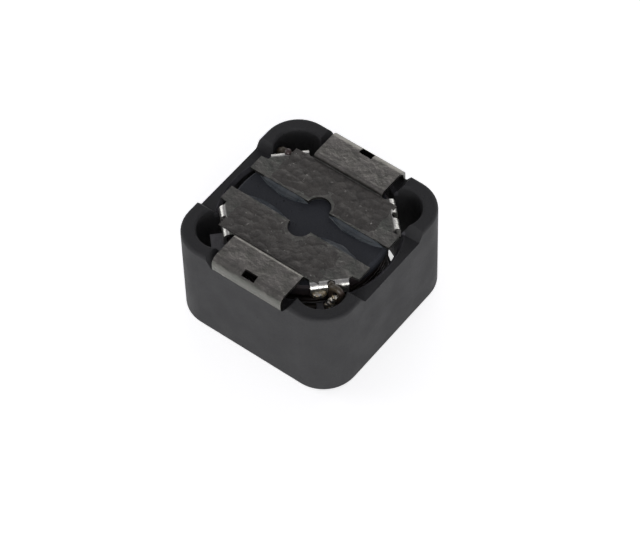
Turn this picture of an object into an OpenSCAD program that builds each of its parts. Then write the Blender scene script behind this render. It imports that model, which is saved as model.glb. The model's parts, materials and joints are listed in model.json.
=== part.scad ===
// Ferrite-shielded surface-mount power inductor, 12 x 12 mm, lying with its solder pads up.
// The origin is at the centre of the plain face that it rests on.
// +Z points out of the solder pads, and the pads lie along -Y (front) and +Y (rear).

/* [Shield ring] */
// Width of the square ring across its flats
ring_w = 12; // [11.6:0.1:13]
// Height of the ring at its four corner posts
ring_h = 6.95; // [6.4:0.05:7.6]
// Radius of the outer corners, seen from above
ring_corner_r = 2.25; // [2:0.05:2.5]
// Radius that softens the outer top and bottom edges
ring_edge_r = 0.25; // [0.1:0.05:0.4]
// Thinnest wall between the round bore and a side
wall_t = 0.6; // [0.5:0.05:0.7]
// Radius of the four wire lobes at the corners of the bore
lobe_r = 1.5; // [1.4:0.05:1.6]
// Thinnest wall between a lobe and a side
lobe_wall = 0.85; // [0.8:0.01:0.9]
// Chamfer round the rims of the bore and lobes
rim_chamfer = 0.12; // [0.05:0.01:0.2]
// Chamfer along the edge between the bore and a recess
recess_chamfer = 0.2; // [0.1:0.01:0.25]
// Depth of the recess along the top of each side
recess_depth = 0.65; // [0.4:0.05:0.8]
// Clearance between the floor of a recess and each side of a pad
recess_clear = 0.1; // [0.05:0.05:0.2]
// Length of the ramp at each end of a recess
recess_ramp = 0.45; // [0.3:0.05:0.6]

/* [Drum core] */
// Gap between the flanges and the bore
core_gap = 0.5; // [0.45:0.05:0.6]
// How far the top of the drum sits below the top of the ring
core_sink = 0.3; // [0.2:0.05:0.4]
// How far the lower flange sits above the rest face
core_lift = 0.15; // [0.05:0.05:0.25]
// Thickness of each flange
flange_t = 0.9; // [0.8:0.05:1.1]
// Depth of the winding window, from the rim of the flanges in to the post
window_depth = 2.05; // [1.95:0.05:2.3]
// Chamfer on the rims of the flanges
flange_chamfer = 0.15; // [0.05:0.01:0.2]
// Radius in the corners between post and flanges
post_fillet_r = 0.05; // [0.02:0.01:0.08]

/* [Winding] */
// Diameter of the enamelled wire
wire_d = 0.4; // [0.3:0.01:0.42]
// Space between one turn and the next
turn_gap = 0.04; // [0.03:0.01:0.06]
// Space between one layer and the next
layer_gap = 0.02; // [0.01:0.005:0.04]

/* [Terminals] */
// Thickness of the tinned sheet
sheet_t = 0.2; // [0.15:0.01:0.25]
// Distance from the middle to the inner edge of a plate
plate_inner = 0.88; // [0.8:0.02:1]
// How far an ear reaches past the rim of the drum
ear_overhang = 0.16; // [0.1:0.01:0.2]
// Width of an ear
ear_w = 1.05; // [0.9:0.05:1.1]
// Radius of the round relief in the inner edge
relief_r = 0.75; // [0.6:0.05:0.9]
// Width of a solder pad
pad_w = 5; // [4.6:0.1:5]
// Distance from the rim of the drum in to the step up to a pad
step_inset = 1.1; // [1:0.05:1.2]
// Height of a pad over its plate
pad_rise = 0.3; // [0.25:0.01:0.4]
// Inner radius of the bend at the outer end of a pad
fold_r = 0.3; // [0.1:0.05:0.3]
// Width of the window in the bend
window_w = 0.9; // [0.6:0.1:1.2]
// Length of the window in the bend
window_len = 0.46; // [0.3:0.02:0.5]
// Inner radius of the bends of the holding tabs
tab_bend_r = 0.12; // [0.1:0.01:0.15]
// Length of a holding tab, down from the top of the plate
tab_drop = 0.8; // [0.7:0.05:0.9]
// Width of the tab beside the pad
tab_inner_w = 1; // [0.9:0.02:1]
// Width of the tab beside the ear
tab_outer_w = 0.8; // [0.7:0.02:0.8]
// Clearance between the wire and each side of the slot between two tabs
slot_clear = 0.02; // [0.015:0.005:0.05]

/* [Adhesive and solder] */
// Thickness of the adhesive under a plate
bed_t = 0.1; // [0.05:0.01:0.15]
// How far the adhesive swells out past the inner edge of a plate
bed_swell = 0.4; // [0.2:0.05:0.5]
// How far the adhesive in the lobe without a lead reaches past the rim of the drum
bond_reach = 0.95; // [0.7:0.05:1]
// Height of the dot of adhesive in the lobe with a lead
dot_h = 1; // [0.5:0.1:1.5]
// Radius of the largest bead of solder
solder_r = 0.26; // [0.2:0.01:0.3]

/* [Hidden] */

$fn = 96;
eps = 0.01;
cut = 1;
bond_gap = 0.02;
solder_gap = 0.04;

// Shield ring
ring_half = ring_w / 2;
bore_r = ring_half - wall_t;
corner_offset = ring_half - ring_corner_r;
lobe_offset = ring_half - lobe_wall - lobe_r;
recess_z = ring_h - recess_depth;
recess_len = pad_w + 2 * recess_clear;

// Drum core
flange_r = bore_r - core_gap;
post_r = flange_r - window_depth;
core_top = ring_h - core_sink;
core_h = core_top - core_lift;
window_low = core_lift + flange_t;
window_high = core_top - flange_t;

// Terminals
plate_z = core_top + bed_t;
plate_top = plate_z + sheet_t;
pad_top = plate_top + pad_rise;
ear_reach = flange_r + ear_overhang;
step_reach = flange_r - step_inset;
joggle_r = pad_rise / 2;
joggle_start = step_reach - joggle_r;
pad_start = step_reach + joggle_r;
fold_outer_r = fold_r + sheet_t;
fold_start = ring_half - fold_outer_r;
fold_low = recess_z + bond_gap;
tab_clear = 0.03;
root_len = 0.3;
tab_face = flange_r + tab_clear + sheet_t;
tab_outer_r = tab_bend_r + sheet_t;
tab_start = tab_face - tab_outer_r;
tab_low = plate_top - tab_drop;
window_reach = ring_half - fold_outer_r + 0.1;

// Along a cut corner, positions run from the corner's middle towards the ear
slot_s = 0.6;
slot_w = wire_d + 2 * slot_clear;
slot_near = slot_s - slot_w / 2;
slot_far = slot_s + slot_w / 2;
tabs_near = slot_near - tab_inner_w;
tabs_far = slot_far + tab_outer_w;

// Winding
wire_r = wire_d / 2;
wire_sides = 6;
turn_steps = 18;
climb_steps = 4;
lead_steps = 3;
post_clear = 0.08;
layers = 2 * floor((window_depth - post_clear) / (2 * (wire_d + layer_gap)));
turn_pitch = wire_d + turn_gap;
entry_z = window_high - wire_r - turn_gap;
layer_high = entry_z - turn_pitch;
turns = floor((layer_high - window_low - wire_r - turn_gap) / turn_pitch);
layer_low = layer_high - turns * turn_pitch;
function layer_r(k) = post_r + post_clear + wire_r + k * (wire_d + layer_gap);

// Leads: both ends of the wire rise past the upper flange at one radius, through the slots between the tabs
lead_r = flange_r + wire_r + 0.06;
slot_angle = asin(slot_s / lead_r) - 45;
slot_depths = [0.7, 0.35];
entry_tuck = 0.42;
exit_angle = -65;
entry_angle = -20;
entry_steps = 6;
exit_steps = 8;
first_angle = 280;
function layer_angle(k) = first_angle + 360 * climb_steps / turn_steps * k;
exit_turn = 360 * ceil((layer_angle(layers - 1) + 100 - exit_angle) / 360);
hook_end = [0.34, 0, -1.6];

// Adhesive in the lobes
bond_top = tab_low - bond_gap;
bond_low = layer_high + wire_r + 3 * bond_gap;
dot_top = bond_top - 0.35;

// The hook of a lead over the tabs, from the top of the slot to its cut end.
// Each point is [reach past the rim, place towards the ear, height over the plate].
hook = [
    [0.1, 0.66, -0.03], [0.32, 0.86, 0.05], [0.44, 1.04, -0.15], [0.44, 1.08, -0.55],
    [0.44, 0.92, -0.95], [0.44, 0.62, -1.25], [0.39, 0.3, -1.45]
];

module shield_ring() {
    color([0.2, 0.2, 0.21])
    difference() {
        ring_block();
        ring_bore();
        for (side = [0:3])
            rotate([0, 0, 90 * side]) side_recess();
    }
}

// Square block with round corners and softened edges
module ring_block() {
    for (side = [0, 90])
        rotate([90, 0, side])
            linear_extrude(height = 2 * corner_offset, center = true)
                translate([-ring_half, 0]) soft_rect(ring_w, ring_h, ring_edge_r);
    for (x = [-1, 1], y = [-1, 1])
        translate([x * corner_offset, y * corner_offset, 0])
            rotate_extrude()
                intersection() {
                    translate([-ring_corner_r, 0])
                        soft_rect(2 * ring_corner_r, ring_h, ring_edge_r);
                    square([ring_corner_r, ring_h]);
                }
}

// Rectangle from the origin with rounded corners
module soft_rect(w, h, r) {
    translate([r, 0]) square([w - 2 * r, h]);
    translate([0, r]) square([w, h - 2 * r]);
    for (x = [r, w - r], y = [r, h - r])
        translate([x, y]) circle(r);
}

// Bore and the four lobes that lead the wire past the drum
module ring_bore() {
    through_hole(bore_r);
    for (x = [-1, 1], y = [-1, 1])
        translate([x * lobe_offset, y * lobe_offset, 0]) through_hole(lobe_r);
}

// Hole through the ring with a chamfer at both ends
module through_hole(r) {
    flare = rim_chamfer + eps;
    translate([0, 0, -cut]) cylinder(h = ring_h + 2 * cut, r = r);
    translate([0, 0, ring_h - rim_chamfer]) cylinder(h = flare, r1 = r, r2 = r + flare);
    translate([0, 0, -eps]) cylinder(h = flare, r1 = r + flare, r2 = r);
}

// Shallow recess with ramped ends in the top of the side towards +Y, and the chamfer
// where its floor meets the bore
module side_recess() {
    floor_x = recess_len / 2;
    flare = recess_chamfer + eps;
    ramp = recess_ramp / recess_depth;
    top_x = floor_x + ramp * (recess_depth + cut);
    translate([0, ring_half + cut, 0])
        rotate([90, 0, 0])
            linear_extrude(height = wall_t + 2 * cut)
                polygon([
                    [-floor_x, recess_z], [floor_x, recess_z],
                    [top_x, ring_h + cut], [-top_x, ring_h + cut]
                ]);
    intersection() {
        translate([0, 0, recess_z - recess_chamfer])
            cylinder(h = flare, r1 = bore_r, r2 = bore_r + flare);
        translate([-floor_x, 0, recess_z - recess_chamfer])
            cube([recess_len, ring_half, flare]);
    }
}

// Post with a flange at each end, turned as one piece
module drum_core() {
    c = flange_chamfer;
    f = post_fillet_r;
    color([0.14, 0.15, 0.17])
    rotate_extrude()
        union() {
            translate([0, core_lift]) square([post_r, core_h]);
            for (z = [core_lift, window_high])
                translate([0, z])
                    polygon([
                        [0, 0], [flange_r - c, 0], [flange_r, c], [flange_r, flange_t - c],
                        [flange_r - c, flange_t], [0, flange_t]
                    ]);
            difference() {
                translate([post_r - eps, window_low - eps])
                    square([f + eps, window_high - window_low + 2 * eps]);
                translate([post_r + f, window_low + f]) circle(f);
                translate([post_r + f, window_high - f]) circle(f);
                translate([post_r, window_low + f])
                    square([f + cut, window_high - window_low - 2 * f]);
            }
        }
}

// Point at a radius, angle and height
function polar(r, a, z) = [r * cos(a), r * sin(a), z];

// Point in the frame of the corner at +X -Y, from its reach, place towards the ear and height
function corner(p) = [(p[0] + p[1]) * sqrt(0.5), (p[1] - p[0]) * sqrt(0.5), p[2]];

// The same point after half a turn about Z
function opposite(p) = [-p[0], -p[1], p[2]];

function reversed(list) = [for (i = [len(list) - 1:-1:0]) list[i]];

// Points r, a, z that run evenly from one end to the other, without the ends
function spiral(r0, r1, a0, a1, z, steps) = [
    for (i = [1:steps - 1])
        polar(r0 + (r1 - r0) * i / steps, a0 + (a1 - a0) * i / steps, z)
];

// Smooth curve through the inner points of a list, in steps between one point and the next
function smooth(p, steps) = [
    for (i = [1:len(p) - 3], j = [0:steps - 1])
        blend_point(p[i - 1], p[i], p[i + 1], p[i + 2], j / steps)
];
function blend_point(a, b, c, d, t) =
    0.5 * (2 * b + (c - a) * t + (2 * a - 5 * b + 4 * c - d) * t * t
        + (3 * b - a - 3 * c + d) * t * t * t);

// One layer of turns, wound down when k is even and up when it is odd.
// The first one starts against the upper flange, above all the others.
function layer(k) = let (
        down = k % 2 == 0,
        from = k == 0 ? entry_z : down ? layer_high : layer_low,
        to = down ? layer_low : layer_high,
        count = turn_steps * (k == 0 ? turns + 1 : turns)
    ) [for (i = [0:count])
        polar(layer_r(k), layer_angle(k) + 360 * i / turn_steps, from + (to - from) * i / count)];

// The climb from layer k onto the next one
function climb(k) = spiral(
    layer_r(k), layer_r(k + 1), layer_angle(k), layer_angle(k + 1),
    k % 2 == 0 ? layer_low : layer_high, climb_steps);

// Wire from the inner end of a lead down to its cut end, in the corner at +X -Y.
// The tuck is how much lower than the top of the plate its hook passes.
function lead(before, rise, tuck) = let (top = plate_top - tuck) smooth(concat(
    before, rise,
    [for (depth = slot_depths) polar(lead_r, slot_angle, top - depth)],
    [for (h = hook) corner([lead_r + h[0], h[1], top + h[2]])],
    [corner([lead_r + hook_end[0], hook_end[1], top + hook_end[2]])]
), lead_steps);

exit_lead = lead(
    [polar(lead_r, exit_angle - 12, layer_high), polar(lead_r, exit_angle, layer_high)],
    [polar(lead_r, -52, layer_high), polar(lead_r, -44, layer_high + 0.1),
        polar(lead_r, -40, layer_high + 0.4)], 0);
entry_lead = lead(
    [polar(lead_r, entry_angle + 12, entry_z), polar(lead_r, entry_angle, entry_z)],
    [polar(lead_r, -30, entry_z + 0.03), polar(lead_r, -35, entry_z + 0.13)], entry_tuck);

wire_route = concat(
    [for (p = reversed(entry_lead)) opposite(p)],
    spiral(lead_r, layer_r(0), entry_angle + 180, layer_angle(0), entry_z, entry_steps),
    [for (k = [0:layers - 1]) each concat(layer(k), k < layers - 1 ? climb(k) : [])],
    spiral(layer_r(layers - 1), lead_r, layer_angle(layers - 1), exit_angle + exit_turn, layer_high,
        exit_steps),
    exit_lead);

function unit(v) = v / norm(v);
function tangent(p, i) = unit(p[min(i + 1, len(p) - 1)] - p[max(i - 1, 0)]);
function across(v, t) = unit(v - (v * t) * t);

// Side direction at each point, carried along the wire without twist
function sides(p) = [
    for (i = 0, v = across([0, 0, 1], tangent(p, 0)); i < len(p);
        i = i + 1, v = across(v, tangent(p, i))) v
];

// One length of round wire: winding and both leads
module coil_winding() {
    route = wire_route;
    side = sides(route);
    n = wire_sides;
    rings = len(route);
    color([0.36, 0.2, 0.12])
    polyhedron(
        points = [
            for (i = [0:rings - 1], k = [0:n - 1])
                let (t = tangent(route, i), a = 360 * k / n)
                    route[i] + wire_r * (cos(a) * side[i] + sin(a) * cross(t, side[i]))
        ],
        faces = concat(
            [[for (k = [0:n - 1]) k]],
            [[for (k = [n - 1:-1:0]) (rings - 1) * n + k]],
            [for (i = [0:rings - 2], k = [0:n - 1]) let (m = (k + 1) % n)
                [i * n + k, (i + 1) * n + k, (i + 1) * n + m]],
            [for (i = [0:rings - 2], k = [0:n - 1]) let (m = (k + 1) % n)
                [i * n + k, (i + 1) * n + m, i * n + m]]));
}

module terminal_front() {
    rotate([0, 0, 180]) terminal();
}

module terminal_rear() {
    terminal();
}

// Stamped and bent terminal of the rear side, reaching towards +Y
module terminal() {
    color([0.6, 0.59, 0.56])
    difference() {
        union() {
            translate([0, 0, plate_z])
                linear_extrude(height = sheet_t) plate_outline();
            translate([-pad_w / 2, 0, 0])
                rotate([90, 0, 90])
                    linear_extrude(height = pad_w) strip_profile();
            for (side = [0, 1])
                mirror([side, 0, 0]) rotate([0, 0, 45]) corner_tabs();
        }
        for (side = [0, 1])
            mirror([side, 0, 0]) rotate([0, 0, 45]) wire_slot();
        translate([-window_w / 2, window_reach - window_len / 2, recess_z])
            cube([window_w, window_len, pad_top - recess_z + cut]);
    }
}

// Point of a plate's outline from its place in the frame of the corner
function on_chord(reach, s) = [(reach + s) * sqrt(0.5), (reach - s) * sqrt(0.5)];

// Half-moon plate with its relief, ears and cut corners
module plate_outline() {
    half = [
        [0, plate_inner], [ear_reach, plate_inner], [ear_reach, plate_inner + ear_w],
        [ear_reach - 0.48, plate_inner + ear_w + 0.06],
        on_chord(tab_start, tabs_far), on_chord(tab_start, tabs_near),
        [pad_w / 2 + 0.35, joggle_start], [0, joggle_start]
    ];
    difference() {
        for (side = [0, 1])
            mirror([side, 0, 0]) polygon(half);
        translate([0, plate_inner]) circle(relief_r);
    }
}

// Section of the pad strip: step up, flat pad, bend and fold, in distance and height
module strip_profile() {
    mid = plate_z + sheet_t / 2;
    translate([joggle_start - root_len, plate_z]) square([root_len + eps, sheet_t]);
    translate([joggle_start, mid + joggle_r]) bend(joggle_r - sheet_t / 2, -90);
    translate([pad_start, mid + joggle_r]) bend(joggle_r - sheet_t / 2, 90);
    translate([pad_start, pad_top - sheet_t]) square([fold_start - pad_start, sheet_t]);
    translate([fold_start, pad_top - fold_outer_r]) bend(fold_r, 0);
    translate([ring_half - sheet_t, fold_low])
        square([sheet_t, pad_top - fold_outer_r - fold_low]);
}

// Quarter of a sheet bend round the origin, starting at an angle
module bend(inner_r, start) {
    rotate(start)
        intersection() {
            difference() {
                circle(inner_r + sheet_t);
                circle(inner_r);
            }
            square(inner_r + sheet_t);
        }
}

// The two tabs that hook over the rim of the drum, with +X out along the diagonal
module corner_tabs() {
    for (span = [[tabs_near, slot_near], [slot_far, tabs_far]])
        translate([0, -span[0], 0])
            rotate([90, 0, 0])
                linear_extrude(height = span[1] - span[0]) tab_profile();
}

// Section of a holding tab: root in the plate, bend and straight leg
module tab_profile() {
    translate([tab_start - root_len, plate_z]) square([root_len + eps, sheet_t]);
    translate([tab_start, plate_top - tab_outer_r]) bend(tab_bend_r, 0);
    translate([tab_face - sheet_t, tab_low])
        square([sheet_t, plate_top - tab_outer_r - tab_low]);
}

// Round-ended slot for the wire, cut into the bend between the tabs
module wire_slot() {
    root = tab_start + slot_w / 2 - 0.06;
    translate([root, -slot_s, tab_low - cut]) {
        cylinder(h = tab_drop + 2 * cut, r = slot_w / 2);
        translate([0, -slot_w / 2, 0]) cube([cut, slot_w, tab_drop + 2 * cut]);
    }
}

// Adhesive under the rear plate, swelling out past its inner edge in two lenses
module plate_adhesive() {
    bed_r = flange_r - flange_chamfer - 0.05;
    inset = 0.06;
    lens_half = 1.7;
    lens_mid = 2.6;
    lens_r = (pow(lens_half, 2) + pow(bed_swell, 2)) / (2 * bed_swell);
    color([0.3, 0.33, 0.36])
    translate([0, 0, core_top])
        linear_extrude(height = bed_t)
            intersection() {
                circle(bed_r);
                union() {
                    difference() {
                        translate([-bed_r, plate_inner + inset])
                            square([2 * bed_r, joggle_start - 2 * inset - plate_inner]);
                        translate([0, plate_inner]) circle(relief_r + inset);
                    }
                    for (x = [-lens_mid, lens_mid])
                        intersection() {
                            translate([x, plate_inner - bed_swell + lens_r]) circle(lens_r);
                            translate([x - lens_half, plate_inner - bed_swell])
                                square([2 * lens_half, bed_swell + 2 * inset]);
                        }
                }
            }
}

module plate_adhesive_front() {
    rotate([0, 0, 180]) plate_adhesive();
}

module plate_adhesive_rear() {
    plate_adhesive();
}

// Solder on the tab beside the pad and round the wire, in the corner at +X -Y
module lead_solder() {
    beads = [[0.03, -0.42, 0.1, 0.7], [0.02, -0.14, 0.06, 0.8], [0.03, 0.12, 0.12, 0.9],
        [0.04, 0.36, 0.16, 1]];
    color([0.75, 0.74, 0.7])
    rotate([0, 0, -45])
        difference() {
            for (b = beads)
                translate([tab_face + b[0], b[1], tab_low + b[2]]) sphere(solder_r * b[3]);
            translate([tab_face - 2 * cut, -cut, tab_low - cut])
                cube([2 * cut, 2 * cut, tab_drop + cut]);
            rotate([0, 0, slot_angle + 45])
                translate([lead_r, 0, tab_low - cut])
                    cylinder(h = tab_drop + cut, r = wire_r + solder_gap);
        }
}

module lead_solder_front() {
    lead_solder();
}

module lead_solder_rear() {
    rotate([0, 0, 180]) lead_solder();
}

// Adhesive in the lobe towards +X, from an inner radius out to a reach along the diagonal.
// Near and far count sideways from the diagonal, towards +Y.
module ring_bond(inner_r, reach, near, far, low, high) {
    color([0.42, 0.42, 0.4])
    intersection() {
        difference() {
            translate([lobe_offset * sqrt(2), 0, low])
                cylinder(h = high - low, r = lobe_r - bond_gap);
            translate([0, 0, low - cut])
                cylinder(h = high - low + 2 * cut, r = inner_r);
        }
        translate([0, near, low]) cube([reach, far - near, high - low]);
    }
}

// Fillet that holds the drum in a lobe without a lead, under the tabs and beside the pad
module drum_bond() {
    ring_bond(flange_r + bond_gap, flange_r + bond_reach, -lobe_r, 0.2, bond_low, bond_top);
}

// Dot between a lead and the wall of its lobe
module lead_bond() {
    ring_bond(lead_r + wire_r + bond_gap, ring_w, -0.35, 0.05, dot_top - dot_h, dot_top);
}

module ring_bond_front_left() {
    rotate([0, 0, -135]) mirror([0, 1, 0]) drum_bond();
}

module ring_bond_front_right() {
    rotate([0, 0, -45]) lead_bond();
}

shield_ring();
drum_core();
coil_winding();
terminal_front();
terminal_rear();
plate_adhesive_front();
plate_adhesive_rear();
lead_solder_front();
lead_solder_rear();
ring_bond_front_left();
ring_bond_front_right();
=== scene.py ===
"""Looks of a shielded surface-mount inductor: finishes, winding, solder and worn plates.

Lengths are in millimetres up to the point where a mesh is made, and metres from there on.
The solder pads face +Z, and the front pad lies towards -Y.
"""
import json
import math

import bpy
from mathutils import Matrix, Vector, noise


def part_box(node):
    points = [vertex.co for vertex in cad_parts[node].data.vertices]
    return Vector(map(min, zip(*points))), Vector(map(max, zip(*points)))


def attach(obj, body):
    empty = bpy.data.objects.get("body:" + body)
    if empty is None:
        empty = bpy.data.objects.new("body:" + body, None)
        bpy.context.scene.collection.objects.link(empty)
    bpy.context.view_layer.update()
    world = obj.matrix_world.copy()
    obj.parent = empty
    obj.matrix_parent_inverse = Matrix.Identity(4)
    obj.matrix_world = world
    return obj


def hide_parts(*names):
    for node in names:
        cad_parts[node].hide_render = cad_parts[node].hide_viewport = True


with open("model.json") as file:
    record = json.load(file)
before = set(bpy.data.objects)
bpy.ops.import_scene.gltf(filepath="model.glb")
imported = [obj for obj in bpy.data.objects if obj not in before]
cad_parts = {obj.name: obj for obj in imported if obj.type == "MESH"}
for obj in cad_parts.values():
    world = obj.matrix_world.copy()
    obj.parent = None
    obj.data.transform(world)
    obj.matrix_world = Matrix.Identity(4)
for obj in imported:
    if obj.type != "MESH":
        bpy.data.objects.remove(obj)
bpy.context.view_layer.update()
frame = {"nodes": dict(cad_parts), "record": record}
MM = 0.001


def corners(node):
    """Lowest and highest corner of a CAD node, in millimetres."""
    low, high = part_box(node)
    return low / MM, high / MM


# ---------------------------------------------------------------- sizes from the frame
CORE_R = corners("drum_core")[1].x
CORE_TOP = corners("drum_core")[1].z
PLATE_INNER = corners("terminal_rear")[0].y
SHEET = 0.2
PLATE_TOP = corners("plate_adhesive_rear")[1].z + SHEET
TAB_LOW = corners("terminal_rear")[0].z
RELIEF_R = 0.75
BORE_R = 5.4
RECESS_Z = 6.3


# ---------------------------------------------------------------- materials
class Finish:
    """A node material, written as a chain of textures that ends in one Principled shader."""

    def __init__(self, name, **sockets):
        self.material = bpy.data.materials.new(name)
        self.material.use_nodes = True
        self.tree = self.material.node_tree
        self.shader = self.tree.nodes["Principled BSDF"]
        for socket, value in sockets.items():
            self.shader.inputs[socket.replace("_", " ")].default_value = value
        self.place = self.add("ShaderNodeTexCoord").outputs["Object"]

    def add(self, kind, **settings):
        node = self.tree.nodes.new(kind)
        for key, value in settings.items():
            setattr(node, key, value)
        return node

    def put(self, socket, value):
        """Links an output to a socket, or sets the socket to a number or colour."""
        if isinstance(value, bpy.types.NodeSocket):
            self.tree.links.new(value, socket)
        elif isinstance(value, (tuple, list)) and len(value) == 3 and socket.type == "RGBA":
            socket.default_value = (*value, 1)
        else:
            socket.default_value = value

    def noise(self, size, detail=2.0, seed=0.0, rough=0.5, stretch=None):
        """Noise whose features are size millimetres across."""
        node = self.add("ShaderNodeTexNoise", noise_dimensions="4D")
        self.put(node.inputs["Vector"], self.stretched(stretch))
        for socket, value in (("Scale", 1 / (size * MM)), ("Detail", detail), ("W", seed),
                              ("Roughness", rough)):
            node.inputs[socket].default_value = value
        return node.outputs["Fac"]

    def stretched(self, stretch):
        """The surface's coordinates, scaled along each axis."""
        if stretch is None:
            return self.place
        node = self.add("ShaderNodeMapping")
        self.put(node.inputs["Vector"], self.place)
        node.inputs["Scale"].default_value = stretch
        return node.outputs["Vector"]

    def axis(self, name):
        """One coordinate of the surface, in millimetres."""
        split = self.add("ShaderNodeSeparateXYZ")
        self.put(split.inputs[0], self.place)
        return self.math("DIVIDE", split.outputs[name], MM)

    def radius(self):
        """Distance from the axis of the drum, in millimetres."""
        squares = [self.math("POWER", self.axis(name), 2) for name in "XY"]
        return self.math("SQRT", self.math("ADD", *squares))

    def math(self, operation, a, b=0.0):
        node = self.add("ShaderNodeMath", operation=operation)
        self.put(node.inputs[0], a)
        self.put(node.inputs[1], b)
        return node.outputs[0]

    def fade(self, value, start, end, low=0.0, high=1.0):
        """A smooth step from low at start to high at end."""
        node = self.add("ShaderNodeMapRange", interpolation_type="SMOOTHSTEP")
        for socket, number in zip(node.inputs, (value, start, end, low, high)):
            self.put(socket, number)
        return node.outputs[0]

    def mix(self, fac, a, b):
        """Colour a where fac is 0 and colour b where it is 1."""
        node = self.add("ShaderNodeMix", data_type="RGBA")
        self.put(node.inputs[0], fac)
        self.put(node.inputs[6], a)
        self.put(node.inputs[7], b)
        return node.outputs[2]

    def bump(self, height, depth, under=None):
        """A normal from a height of 0 to 1 that stands for a depth in millimetres."""
        node = self.add("ShaderNodeBump")
        node.inputs["Distance"].default_value = depth * MM
        self.put(node.inputs["Height"], height)
        if under is not None:
            self.put(node.inputs["Normal"], under)
        return node.outputs["Normal"]

    def finish(self, colour, roughness, normal, metallic=None):
        """Feeds the shader and hands back the material."""
        self.put(self.shader.inputs["Base Color"], colour)
        self.put(self.shader.inputs["Roughness"], roughness)
        self.put(self.shader.inputs["Normal"], normal)
        if metallic is not None:
            self.put(self.shader.inputs["Metallic"], metallic)
        return self.material


def ferrite(f, dark, light, seed):
    """Pressed and fired ferrite: a matt dark grey with a fine sandy grain and small pits."""
    cloud = f.noise(1.6, 3, seed)
    grain = f.noise(0.07, 3, seed + 5, 0.7)
    colour = f.mix(f.fade(cloud, 0.3, 0.7), dark, light)
    colour = f.mix(f.fade(grain, 0.3, 0.75, 0, 0.4), colour, tuple(c * 1.6 for c in light))
    pits = f.fade(f.noise(0.16, 2, seed + 9), 0.66, 0.74)
    colour = f.mix(pits, colour, tuple(c * 0.5 for c in dark))
    normal = f.bump(grain, 0.012)
    normal = f.bump(f.math("MULTIPLY", pits, -1), 0.02, normal)
    return colour, f.fade(cloud, 0.3, 0.7, 0.62, 0.78), normal


def ring_ferrite():
    """Ferrite of the shield, matt and neutral grey, with a painted highlight on the bore's edge
    at the recesses.
    """
    f = Finish("ring_ferrite", Specular_IOR_Level=0.3)
    colour, roughness, normal = ferrite(f, (0.020, 0.020, 0.0212), (0.026, 0.026, 0.0272), 1)
    # Painted highlight in patches on the bore's edge beside a recess, where it catches light
    # from above on the left
    height = f.axis("Z")
    rim = f.fade(f.radius(), BORE_R + 0.26, BORE_R + 0.18)
    rim = f.math("MULTIPLY", rim, f.fade(height, RECESS_Z - 0.28, RECESS_Z - 0.2))
    rim = f.math("MULTIPLY", rim, f.fade(height, RECESS_Z + 0.2, RECESS_Z + 0.1))
    rim = f.math("MULTIPLY", rim, f.fade(f.noise(0.35, 3, 31), 0.25, 0.7, 0.35, 1))
    colour = f.mix(rim, colour, (0.075, 0.073, 0.082))
    return f.finish(colour, roughness, normal)


def core_ferrite():
    """Ferrite of the drum, a little bluer than the shield."""
    f = Finish("core_ferrite", Specular_IOR_Level=0.3)
    colour, roughness, normal = ferrite(f, (0.019, 0.021, 0.026), (0.026, 0.028, 0.034), 2)
    # The rim of the flanges is painted lighter and browner near the corners, in patches
    patchy = f.fade(f.noise(0.5, 2, 32), 0.3, 0.6, 0.6, 1)
    rim_tint = f.math("MULTIPLY", f.fade(f.radius(), CORE_R - 0.18, CORE_R - 0.1), patchy)
    side = f.math("MULTIPLY", f.fade(f.math("ABSOLUTE", f.axis("X")), 1.8, 2.4),
                  f.fade(f.math("ABSOLUTE", f.axis("Y")), 1.2, 1.7))
    colour = f.mix(f.math("MULTIPLY", rim_tint, side), colour, (0.040, 0.030, 0.031))
    return f.finish(colour, roughness, normal)


def tinned_sheet():
    """Dull tin, darker on the plates than on the pads, and painted bright on the tabs for their
    highlight.
    """
    f = Finish("tinned_sheet", Metallic=1.0)
    cloud = f.noise(0.8, 4, 3, 0.6)
    fine = f.noise(0.09, 3, 4, 0.65)
    plate = f.mix(f.fade(cloud, 0.36, 0.64), (0.135, 0.14, 0.125), (0.175, 0.168, 0.155))
    pad = f.mix(f.fade(cloud, 0.36, 0.64), (0.19, 0.185, 0.165), (0.265, 0.25, 0.23))
    colour = f.mix(f.fade(f.axis("Z"), PLATE_TOP + 0.02, PLATE_TOP + 0.2), plate, pad)
    # Partly painted highlight: the tabs carry solder, and their tin is made far brighter than
    # the sheet's so their bends shine white
    across, along = (f.math("ABSOLUTE", f.axis(name)) for name in "XY")
    solder_and_sheen = f.fade(f.math("ADD", across, along), 6.66, 6.8)
    solder_and_sheen = f.math("MULTIPLY", solder_and_sheen, f.fade(across, 2.55, 2.6))
    solder_and_sheen = f.math("MULTIPLY", solder_and_sheen, f.fade(along, 2.0, 2.1))
    colour = f.mix(solder_and_sheen, colour, (0.72, 0.71, 0.67))
    colour = f.mix(f.fade(fine, 0.35, 0.8, 0, 0.4), colour, (0.14, 0.136, 0.128))
    scratch = f.fade(f.noise(0.5, 2, 14, 0.4, (1, 14, 1)), 0.66, 0.7)
    colour = f.mix(f.math("MULTIPLY", scratch, 0.5), colour, (0.42, 0.41, 0.38))
    normal = f.bump(cloud, 0.09, f.bump(fine, 0.008))
    return f.finish(colour, f.fade(fine, 0.3, 0.7, 0.3, 0.44), normal)


def enamel():
    """Dark enamel, brown to olive."""
    f = Finish("enamelled_wire", IOR=1.5, Coat_Weight=0.15, Coat_Roughness=0.3)
    tone = f.noise(0.9, 2, 6)
    colour = f.mix(f.fade(tone, 0.35, 0.65), (0.048, 0.030, 0.028), (0.050, 0.038, 0.022))
    normal = f.bump(f.noise(0.12, 2, 7), 0.006)
    return f.finish(colour, f.fade(tone, 0.3, 0.7, 0.4, 0.5), normal)


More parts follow.
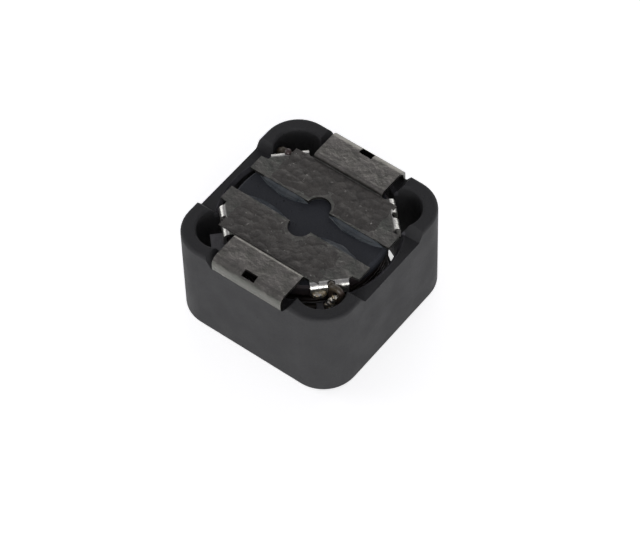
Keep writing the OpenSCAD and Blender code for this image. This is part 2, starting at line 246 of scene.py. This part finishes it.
def tin_crust():
    """Dull, lumpy tin with brown flux stains in its hollows."""
    f = Finish("tin_crust")
    cloud = f.noise(0.8, 3, 21, 0.6)
    fine = f.noise(0.07, 3, 22, 0.7)
    colour = f.mix(f.fade(cloud, 0.35, 0.65), (0.072, 0.068, 0.063), (0.10, 0.094, 0.086))
    colour = f.mix(f.fade(fine, 0.4, 0.75, 0, 0.5), colour, (0.045, 0.039, 0.035))
    bright = f.fade(f.noise(0.22, 2, 23), 0.68, 0.76)
    colour = f.mix(bright, colour, (0.4, 0.39, 0.36))
    normal = f.bump(fine, 0.02)
    return f.finish(colour, f.fade(bright, 0, 1, 0.5, 0.25), normal,
                    f.fade(bright, 0, 1, 0.55, 1.0))


def solder():
    """Bright solder with a rough skin, golden in places from flux."""
    f = Finish("solder", Metallic=1.0)
    tone = f.noise(0.25, 3, 8)
    colour = f.mix(f.fade(tone, 0.4, 0.65), (0.78, 0.76, 0.70), (0.66, 0.55, 0.36))
    normal = f.bump(f.noise(0.08, 3, 9), 0.02)
    return f.finish(colour, f.fade(tone, 0.3, 0.7, 0.28, 0.45), normal)


def clear_adhesive():
    """Clear epoxy that shows the dark ferrite below it."""
    f = Finish("clear_adhesive", IOR=1.5)
    tone = f.noise(0.6, 3, 10)
    colour = f.mix(f.fade(tone, 0.35, 0.65), (0.044, 0.052, 0.060), (0.062, 0.070, 0.076))
    normal = f.bump(f.noise(0.2, 2, 11), 0.01)
    return f.finish(colour, f.fade(tone, 0.3, 0.7, 0.25, 0.4), normal)


def grey_adhesive():
    """Filled epoxy, grey and matt."""
    f = Finish("grey_adhesive", IOR=1.5)
    tone = f.noise(0.4, 3, 12)
    colour = f.mix(f.fade(tone, 0.35, 0.65), (0.085, 0.083, 0.088), (0.12, 0.118, 0.122))
    normal = f.bump(f.noise(0.15, 3, 13), 0.02)
    return f.finish(colour, f.fade(tone, 0.3, 0.7, 0.5, 0.65), normal)


FINISHES = {
    "ring_ferrite": ring_ferrite(),
    "core_ferrite": core_ferrite(),
    "tinned_sheet": tinned_sheet(),
    "enamelled_wire": enamel(),
    "solder": solder(),
    "tin_crust": tin_crust(),
    "clear_adhesive": clear_adhesive(),
    "grey_adhesive": grey_adhesive(),
}

# Every solid of the frame takes the finish of its material slot
for entry in frame["record"]["subparts"]:
    shown = frame["nodes"][entry["node"]]
    shown.data.materials.clear()
    shown.data.materials.append(FINISHES[entry["material_slot"]])


# ---------------------------------------------------------------- mesh tools
def piece(name, points, faces, finish, smooth=True):
    """A mesh piece, from points in millimetres, that rides on the one body of the part."""
    mesh = bpy.data.meshes.new(name)
    mesh.from_pydata([Vector(p) * MM for p in points], [], faces)
    mesh.validate()
    for face in mesh.polygons:
        face.use_smooth = smooth
    made = bpy.data.objects.new(name, mesh)
    bpy.context.scene.collection.objects.link(made)
    mesh.materials.append(FINISHES[finish])
    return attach(made, "root")


def shell(name, top, low, across, along, finish):
    """A closed piece between two surfaces, each a function of u and v from 0 to 1."""
    grid = [(i / across, j / along) for j in range(along + 1) for i in range(across + 1)]
    points = [top(u, v) for u, v in grid] + [low(u, v) for u, v in grid]
    row, half = across + 1, len(grid)
    faces = []
    for j in range(along):
        for i in range(across):
            a = j * row + i
            quad = (a, a + 1, a + 1 + row, a + row)
            faces += [quad, tuple(half + k for k in reversed(quad))]
    rim = ([i for i in range(across)] + [j * row + across for j in range(along)]
           + [along * row + i for i in range(across, 0, -1)]
           + [j * row for j in range(along, 0, -1)])
    for a, b in zip(rim, rim[1:] + rim[:1]):
        faces.append((a, half + a, half + b, b))
    return piece(name, points, faces, finish)


def sweep(name, route, radii, finish, sides=12, lumps=0.0, grain=0.2, seed=0.0):
    """A closed tube along a route, with a radius at each point and lumps on its skin."""
    count = len(route)
    tangents = [(route[min(i + 1, count - 1)] - route[max(i - 1, 0)]).normalized()
                for i in range(count)]
    side = tangents[0].orthogonal()
    points = []
    for place, tangent, radius in zip(route, tangents, radii):
        side = (side - side.dot(tangent) * tangent).normalized()
        other = tangent.cross(side)
        for k in range(sides):
            a = 2 * math.pi * k / sides
            out = math.cos(a) * side + math.sin(a) * other
            skin = place + radius * out
            lump = noise.fractal(skin / grain + Vector((0, 0, seed)), 0.8, 2, 3)
            points.append(skin + lumps * lump * out)
    faces = [tuple(range(sides))[::-1], tuple(range((count - 1) * sides, count * sides))]
    for i in range(count - 1):
        for k in range(sides):
            m = (k + 1) % sides
            faces.append((i * sides + k, i * sides + m, (i + 1) * sides + m,
                          (i + 1) * sides + k))
    return piece(name, points, faces, finish)


def smooth_route(points, steps):
    """Smooth curve through the inner points of a list."""
    route = []
    for a, b, c, d in zip(points, points[1:], points[2:], points[3:]):
        for j in range(steps):
            t = j / steps
            route.append(0.5 * (2 * b + (c - a) * t + (2 * a - 5 * b + 4 * c - d) * t * t
                                + (3 * b - a - 3 * c + d) * t ** 3))
    return route


def corner(reach, side, height):
    """Point at the corner towards +X -Y: reach along the diagonal, side towards the ear."""
    return Vector(((reach + side) * math.sqrt(0.5), (side - reach) * math.sqrt(0.5), height))


def turned(point):
    """The same point after half a turn about Z."""
    return Vector((-point.x, -point.y, point.z))


# ---------------------------------------------------------------- winding and its leads
WIRE_R = 0.2
WIRE_SIDES = 12
TURN_PITCH, LAYER_PITCH = 0.44, 0.42
WINDOW_DEPTH, POST_GAP = 2.05, 0.08
FIRST_R = CORE_R - WINDOW_DEPTH + POST_GAP + WIRE_R
FLANGE_T, FLANGE_GAP = 0.9, 0.04
ENTRY_Z = CORE_TOP - FLANGE_T - WIRE_R - FLANGE_GAP
HIGH_Z = ENTRY_Z - TURN_PITCH
TURNS, LAYERS = 8, 4
LOW_Z = HIGH_Z - TURNS * TURN_PITCH
# Degrees: the start of the first layer, the way round while the wire changes layer, the
# bends where the leads leave the winding, and the whole turns up to the exit lead
FIRST_ANGLE, CLIMB = 280, 80
EXIT_ANGLE, ENTRY_ANGLE = -65, -20
EXIT_WAY = 720
RIM_GAP = 0.06
LEAD_R = CORE_R + WIRE_R + RIM_GAP
# The slot between the tabs lies beside the diagonal of the corner
SLOT_SIDE = 0.6
SLOT_ANGLE = math.degrees(math.asin(SLOT_SIDE / LEAD_R)) - 45
# The entry lead is bent down deeper than the exit lead
ENTRY_TUCK = 0.42
TINNED_RINGS = 14
# Reach past the lead's radius, side and height of each point of the hook
HOOK = [(0.1, 0.66, -0.03), (0.32, 0.86, 0.05), (0.44, 1.04, -0.15), (0.44, 1.08, -0.55),
        (0.44, 0.92, -0.95), (0.44, 0.62, -1.25), (0.39, 0.3, -1.45), (0.34, 0, -1.6)]


def polar(radius, angle, height):
    """Point at an angle in degrees round the drum."""
    a = math.radians(angle)
    return Vector((radius * math.cos(a), radius * math.sin(a), height))


def spiral(r0, r1, a0, a1, z0, z1, steps):
    """Points that run evenly from one radius, angle and height towards another."""
    return [polar(r0 + (r1 - r0) * i / steps, a0 + (a1 - a0) * i / steps,
                  z0 + (z1 - z0) * i / steps) for i in range(steps)]


def lead(before, rise, tuck):
    """From the inner end of a lead, up its slot and over the hook to its cut end."""
    top = PLATE_TOP - tuck
    slot = [polar(LEAD_R, SLOT_ANGLE, top - depth) for depth in (0.7, 0.35)]
    hook = [corner(LEAD_R + reach, side, top + z) for reach, side, z in HOOK]
    return smooth_route(before + rise + slot + hook, 8)


def winding():
    """Enamelled wire in four layers, one over the other, with both leads."""
    per_turn = 36
    exit_lead = lead(
        [polar(LEAD_R, EXIT_ANGLE - 12, HIGH_Z), polar(LEAD_R, EXIT_ANGLE, HIGH_Z)],
        [polar(LEAD_R, -52, HIGH_Z), polar(LEAD_R, -44, HIGH_Z + 0.1),
         polar(LEAD_R, -40, HIGH_Z + 0.4)], 0)
    entry_lead = lead(
        [polar(LEAD_R, ENTRY_ANGLE + 12, ENTRY_Z), polar(LEAD_R, ENTRY_ANGLE, ENTRY_Z)],
        [polar(LEAD_R, -30, ENTRY_Z + 0.03), polar(LEAD_R, -35, ENTRY_Z + 0.13)],
        ENTRY_TUCK)
    route = [turned(p) for p in reversed(entry_lead)]
    route += spiral(LEAD_R, FIRST_R, ENTRY_ANGLE + 180, FIRST_ANGLE, ENTRY_Z, ENTRY_Z, 16)[1:]
    for k in range(LAYERS):
        radius, start = FIRST_R + k * LAYER_PITCH, FIRST_ANGLE + k * CLIMB
        turns = TURNS + 1 if k == 0 else TURNS
        ends = (HIGH_Z, LOW_Z) if k % 2 == 0 else (LOW_Z, HIGH_Z)
        first = ENTRY_Z if k == 0 else ends[0]
        route += spiral(radius, radius, start, start + 360 * turns, first, ends[1],
                        turns * per_turn)
        if k < LAYERS - 1:
            route += spiral(radius, radius + LAYER_PITCH, start, start + CLIMB,
                            ends[1], ends[1], 8)
    last = FIRST_R + (LAYERS - 1) * LAYER_PITCH
    route += spiral(last, LEAD_R, FIRST_ANGLE + (LAYERS - 1) * CLIMB, EXIT_ANGLE + EXIT_WAY,
                    HIGH_Z, HIGH_Z, 16)
    route += exit_lead
    wire = sweep("winding", route, [WIRE_R] * len(route), "enamelled_wire", sides=WIRE_SIDES)
    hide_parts("coil_winding")
    # The solder leaves the ends bright
    wire.data.materials.append(FINISHES["solder"])
    for face in wire.data.polygons:
        ring = face.vertices[0] // WIRE_SIDES
        if ring < TINNED_RINGS or ring > len(route) - TINNED_RINGS:
            face.material_index = 1


def solder_run(name, points, steps, radius, blunt, lumps, grain, seed):
    """A rough run of solder along a few points, thickest in the middle."""
    route = smooth_route(points, steps)
    count = len(route)
    thick = [radius * math.sin(math.pi * (i + 1) / (count + 1)) ** blunt for i in range(count)]
    return sweep(name, route, thick, "solder", sides=24, lumps=lumps, grain=grain, seed=seed)


def solder_joint(end, place, tuck):
    """Rough solder below the tab beside the slot, and along the tail of the lead."""
    bead = [place(corner(CORE_R + 0.25, side, TAB_LOW + rise)) for side, rise in
            ((-0.75, 0.16), (-0.55, 0.12), (-0.35, 0.06), (-0.1, 0.05), (0.12, 0.12),
             (0.3, 0.2), (0.45, 0.3))]
    made = solder_run(f"solder_joint_{end}", bead, steps=6, radius=0.2, blunt=0.4,
                      lumps=0.06, grain=0.13, seed=3)
    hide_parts(f"lead_solder_{end}")
    tail = [place(corner(LEAD_R + reach, side, PLATE_TOP - tuck + z)) for reach, side, z in
            ((0.3, 0.95, -0.3), (0.36, 0.82, -0.5), (0.4, 0.64, -0.8), (0.42, 0.46, -1.06),
             (0.42, 0.26, -1.3), (0.4, 0.08, -1.5), (0.38, -0.05, -1.62))]
    solder_run(f"solder_tail_{end}", tail, steps=8, radius=0.26, blunt=0.5,
               lumps=0.07, grain=0.16, seed=7)


def slot_plug(end, place):
    """Cooked enamel and flux that fill the inner end of the slot over the rim of the drum."""
    route = [place(corner(reach, SLOT_SIDE, PLATE_TOP + rise)) for reach, rise in
             ((4.93, -0.27), (4.95, -0.2), (4.98, -0.12), (5.03, -0.05), (5.1, -0.06),
              (5.18, -0.12), (5.24, -0.2))]
    thick = [0.06, 0.15, 0.2, 0.21, 0.2, 0.16, 0.08]
    sweep(f"slot_plug_{end}", route, thick, "enamelled_wire", sides=16, lumps=0.03, seed=5)


winding()
solder_joint("front", Vector, 0)
solder_joint("rear", turned, ENTRY_TUCK)
slot_plug("front", Vector)
slot_plug("rear", turned)


# ---------------------------------------------------------------- worn plates
def crust_height(x, y, seed):
    """Height of the crusted skin, from 0 to about 1: pebbles, a finer grain and thin patches."""
    bend = 0.12 * noise.noise(Vector((x / 0.3, y / 0.3, seed + 2)))
    near = noise.voronoi(Vector((x / 0.5 + bend, y / 0.44 - bend, seed)))[0]
    pebble = max(0.0, 1 - (1.25 * near[0]) ** 2)
    fine = 0.5 + 0.5 * noise.fractal(Vector((x / 0.24, y / 0.24, seed + 4)), 0.9, 2, 3)
    patch = 0.5 + 0.5 * noise.noise(Vector((x / 1.1, y / 1.1, seed + 9)))
    return max(0.0, (0.72 * pebble + 0.28 * fine) * (0.45 + 0.8 * patch))


def crust(end, place, left, right, outer, height, seed):
    """Lumpy skin in the middle of a plate, thinning out towards its edges."""
    across, along = 170, 70
    relief = RELIEF_R + 0.12
    inner_edge = PLATE_INNER + 0.1
    skin, root = 0.006, 0.03

    def spot(u, v):
        x = left + (right - left) * u
        inner = inner_edge
        if abs(x) < relief:
            inner = max(inner, PLATE_INNER + math.sqrt(relief ** 2 - x ** 2))
        return x, inner + (outer - inner) * v

    def top(u, v):
        x, y = spot(u, v)
        wobble = 0.35 * noise.noise(Vector((x / 0.7, y / 0.7, seed + 20)))
        edge = min(u, 1 - u) * (right - left) / 0.7 + wobble
        edge = min(edge, min(v, 1.4 * (1 - v) + 0.1) * 5 + wobble)
        # The plate is almost smooth behind the relief
        quiet = math.exp(-((x / 0.9) ** 2 + ((y - 1.9) / 0.6) ** 2))
        fade = max(0.0, min(1.0, edge)) * (1 - 0.85 * quiet)
        return place(Vector((x, y, PLATE_TOP - skin + height * crust_height(x, y, seed) * fade)))

    def low(u, v):
        x, y = spot(u, v)
        return place(Vector((x, y, PLATE_TOP - root)))

    shell(f"crust_{end}", top, low, across, along, "tin_crust")


def lens(name, place, middle, half, width, seed):
    """Cured adhesive that wells up against the inner edge of a plate."""
    across, along = 60, 14
    film, root, below_top = 0.004, 0.01, 0.05

    def reach(u):
        swell = max(0.0, 1 - (2 * u - 1) ** 2)
        return width * swell * (1 + 0.25 * noise.noise(Vector((u * 5, seed, 0))))

    def spot(u, v, height):
        return place(Vector((middle + half * (2 * u - 1), PLATE_INNER + 0.01 - reach(u) * v,
                             height)))

    def top(u, v):
        rise = (PLATE_TOP - below_top - CORE_TOP) * (1 - v) ** 1.6 * min(1, 6 * reach(u))
        return spot(u, v, CORE_TOP + film + rise)

    def low(u, v):
        return spot(u, v, CORE_TOP - root)

    shell(name, top, low, across, along, "clear_adhesive")


crust("rear", Vector, left=-3.75, right=3.65, outer=3.62, height=0.15, seed=1)
crust("front", turned, left=-3.4, right=3.9, outer=3.6, height=0.09, seed=31)
lens("adhesive_rear_left", Vector, middle=-2.5, half=1.75, width=0.42, seed=1)
lens("adhesive_rear_right", Vector, middle=2.7, half=2.0, width=0.42, seed=2)
lens("adhesive_front_left", turned, middle=2.2, half=1.5, width=0.38, seed=3)
lens("adhesive_front_right", turned, middle=-2.7, half=1.6, width=0.5, seed=4)


# ---------------------------------------------------------------- studio
def sun(name, azimuth, elevation, angle, level):
    """Soft parallel light. At level 1 a surface that faces it renders at its own colour."""
    data = bpy.data.lights.new(name, "SUN")
    data.energy = level * math.pi
    data.angle = math.radians(angle)
    lamp = bpy.data.objects.new(name, data)
    lamp.rotation_mode = "QUATERNION"
    lamp.rotation_quaternion = direction(azimuth, elevation).to_track_quat("Z", "Y")
    bpy.context.scene.collection.objects.link(lamp)


def direction(azimuth, elevation):
    """Unit vector towards a place round the object: azimuth 0 is the front and 90 the right."""
    a, e = math.radians(azimuth), math.radians(elevation)
    return Vector((math.sin(a) * math.cos(e), -math.cos(a) * math.cos(e), math.sin(e)))


def floor():
    """Pale floor of a light table: it glows softly and keeps the object's shadow."""
    radius, sides, drop = 1.0, 64, 0.02 * MM
    mesh = bpy.data.meshes.new("floor")
    ring = [(radius * math.cos(2 * math.pi * k / sides),
             radius * math.sin(2 * math.pi * k / sides), -drop) for k in range(sides)]
    mesh.from_pydata(ring, [], [range(sides)])
    piece = bpy.data.objects.new("floor", mesh)
    bpy.context.scene.collection.objects.link(piece)
    material = bpy.data.materials.new("floor")
    material.use_nodes = True
    nodes, links = material.node_tree.nodes, material.node_tree.links
    nodes.clear()
    glow = nodes.new("ShaderNodeEmission")
    glow.inputs["Strength"].default_value = 0.66
    matt = nodes.new("ShaderNodeBsdfDiffuse")
    matt.inputs["Color"].default_value = (0.85, 0.85, 0.85, 1)
    both = nodes.new("ShaderNodeAddShader")
    links.new(matt.outputs[0], both.inputs[0])
    links.new(glow.outputs[0], both.inputs[1])
    out = nodes.new("ShaderNodeOutputMaterial")
    links.new(both.outputs[0], out.inputs["Surface"])
    mesh.materials.append(material)


def camera():
    """Long lens from above the front right corner."""
    azimuth, elevation, roll = 38.9, 52.87, math.radians(-1.93)
    distance, side, rise = 191.44, 0.472, 1.182
    back = direction(azimuth, elevation)
    right = Vector((math.cos(math.radians(azimuth)), math.sin(math.radians(azimuth)), 0))
    up = back.cross(right)
    across = math.cos(roll) * right + math.sin(roll) * up
    upright = math.cos(roll) * up - math.sin(roll) * right
    place = (back * distance + across * side + upright * rise) * MM
    data = bpy.data.cameras.new("camera")
    data.lens = 180
    data.sensor_width = 36
    data.clip_start, data.clip_end = 0.01, 5
    eye = bpy.data.objects.new("camera", data)
    axes = Matrix((across, upright, back)).transposed().to_4x4()
    eye.matrix_world = Matrix.Translation(place) @ axes
    bpy.context.scene.collection.objects.link(eye)
    bpy.context.scene.camera = eye


def sky(colour, level):
    """Even light from all round."""
    world = bpy.data.worlds.new("world")
    world.use_nodes = True
    background = world.node_tree.nodes["Background"]
    background.inputs["Color"].default_value = (*colour, 1)
    background.inputs["Strength"].default_value = level
    bpy.context.scene.world = world


floor()
camera()
sun("key_light", azimuth=42, elevation=3, angle=34, level=0.85)
sun("high_light", azimuth=45, elevation=36, angle=26, level=0.09)
sun("left_light", azimuth=285, elevation=20, angle=50, level=0.25)
sun("back_light", azimuth=195, elevation=10, angle=70, level=0.4)
sky((0.97, 0.96, 1.05), 0.23)
bpy.context.scene.view_settings.view_transform = "Standard"
